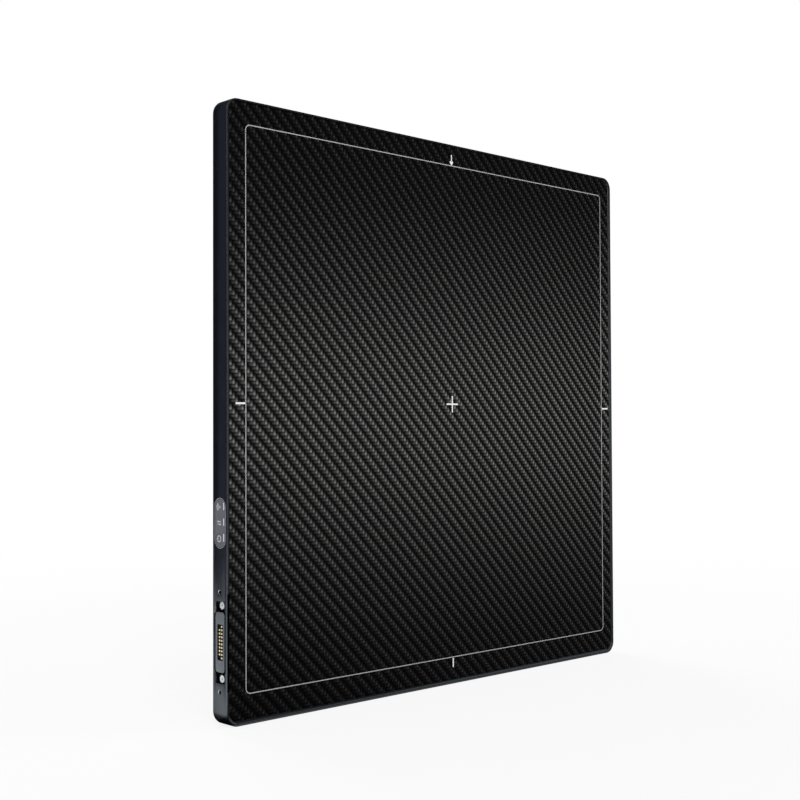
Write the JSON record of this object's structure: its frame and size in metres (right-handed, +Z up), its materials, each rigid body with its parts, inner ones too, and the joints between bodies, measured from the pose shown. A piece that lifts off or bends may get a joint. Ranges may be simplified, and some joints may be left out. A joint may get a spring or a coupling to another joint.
{
  "type": "flat panel x-ray detector",
  "caption": "Cassette-sized digital x-ray panel: carbon fibre front in a metal frame, docking socket and status capsule at the side, lift-out battery and latches behind.",
  "frame": {"origin": "centre of the bounding box's bottom, with the panel standing on its lower edge", "axes": "+Z up, -Y out of the carbon fibre front, +X to the right seen from the front"},
  "size_m": [0.46, 0.0186, 0.46],
  "materials": {
    "frame_coat": "dark satin paint on cast light alloy",
    "carbon": "twill carbon fibre under clear resin",
    "adhesive": "cured bond line",
    "foam": "soft closed-cell sheet",
    "phosphor": "smooth white layer",
    "sensor_glass": "coated thin glass",
    "shield_metal": "soft grey metal sheet",
    "light_alloy": "bare cast metal",
    "elastomer": "matt black elastomer",
    "board_green": "solder mask",
    "chip_black": "moulded package",
    "can_metal": "tinned sheet",
    "screw_steel": "zinc plated",
    "dark_screw": "blackened steel",
    "flex_amber": "thin amber film",
    "cable_white": "flat ribbon",
    "plug_plastic": "ivory moulding",
    "heat_pad": "soft pad",
    "dark_plastic": "fine texture",
    "dock_grey": "satin anodised",
    "insulator": "black moulding",
    "contact_gold": "gold plated",
    "magnet_plate": "bright nickel plate",
    "bezel_metal": "satin anodised",
    "window_grey": "smoked window",
    "light_guide": "milky light guide",
    "key_grey": "smooth moulding",
    "cover_coat": "dark satin paint",
    "battery_case": "fine texture",
    "cell_foil": "pouch foil",
    "leaf_steel": "spring steel",
    "latch_plastic": "fine texture"
  },
  "bodies": {
    "detector": {"side_frame": "frame_coat", "front_plate": "carbon", "front_bond": "adhesive", "pressure_foam": "foam", "scintillator": "phosphor", "glass_panel": "sensor_glass", "lead_sheet": "shield_metal", "support_plate": "light_alloy", "panel_buffers": "elastomer", "gate_board": "board_green", "readout_boards": "board_green", "main_board": "board_green", "power_board": "board_green", "radio_board": "board_green", "board_screws": "screw_steel", "readout_flexes": "flex_amber", "gate_flexes": "flex_amber", "main_board_chips": "chip_black", "readout_shields": "can_metal", "power_board_parts": "chip_black", "radio_shield": "can_metal", "board_plugs": "plug_plastic", "board_cables": "cable_white", "side_cables": "flex_amber", "heat_pads": "heat_pad", "radio_windows": "dark_plastic", "antennas": "flex_amber", "dock_island": "dock_grey", "dock_seal": "elastomer", "dock_insulator": "insulator", "dock_contacts": "contact_gold", "dock_magnets": "magnet_plate", "dock_board": "board_green", "capsule_bezel": "bezel_metal", "capsule_window": "window_grey", "light_bars": "light_guide", "key_dome": "leaf_steel", "status_board": "board_green", "status_lamps": "light_guide", "rear_cover": "cover_coat", "rear_seal": "elastomer", "cover_screws": "dark_screw", "grip_cup_top": "dark_plastic", "grip_cup_left": "dark_plastic", "battery_bay": "dark_plastic", "bay_connector": "insulator", "bay_blades": "contact_gold", "latch_left_leaf": "leaf_steel", "latch_right_leaf": "leaf_steel"},
    "battery": {"battery_case": "battery_case", "battery_lid": "battery_case", "battery_cells": "cell_foil", "battery_board": "board_green", "battery_terminals": "contact_gold"},
    "latch_left": {"latch_left_cap": "latch_plastic", "latch_left_foot": "latch_plastic"},
    "latch_right": {"latch_right_cap": "latch_plastic", "latch_right_foot": "latch_plastic"},
    "power_key": {"power_key": "key_grey"}
  },
  "joints": [
    {"name": "battery_lift", "type": "slide", "parent": "detector", "child": "battery", "axis": [0, 1, 0], "range_m": [0, 0.02], "deforming": ["latch_left_leaf", "latch_right_leaf"]},
    {"name": "latch_left_slide", "type": "slide", "parent": "detector", "child": "latch_left", "axis": [-1, 0, 0], "range_m": [0, 0.0024], "stiffness_N_per_m": 500, "springref_m": -0.0008, "deforming": ["latch_left_leaf"]},
    {"name": "latch_right_slide", "type": "slide", "parent": "detector", "child": "latch_right", "axis": [1, 0, 0], "range_m": [0, 0.0024], "stiffness_N_per_m": 500, "springref_m": -0.0008, "deforming": ["latch_right_leaf"]},
    {"name": "power_key_press", "type": "slide", "parent": "detector", "child": "power_key", "axis": [1, 0, 0], "range_m": [0, 0.0003], "stiffness_N_per_m": 5000, "springref_m": -0.0001, "deforming": ["key_dome"]}
  ]
}
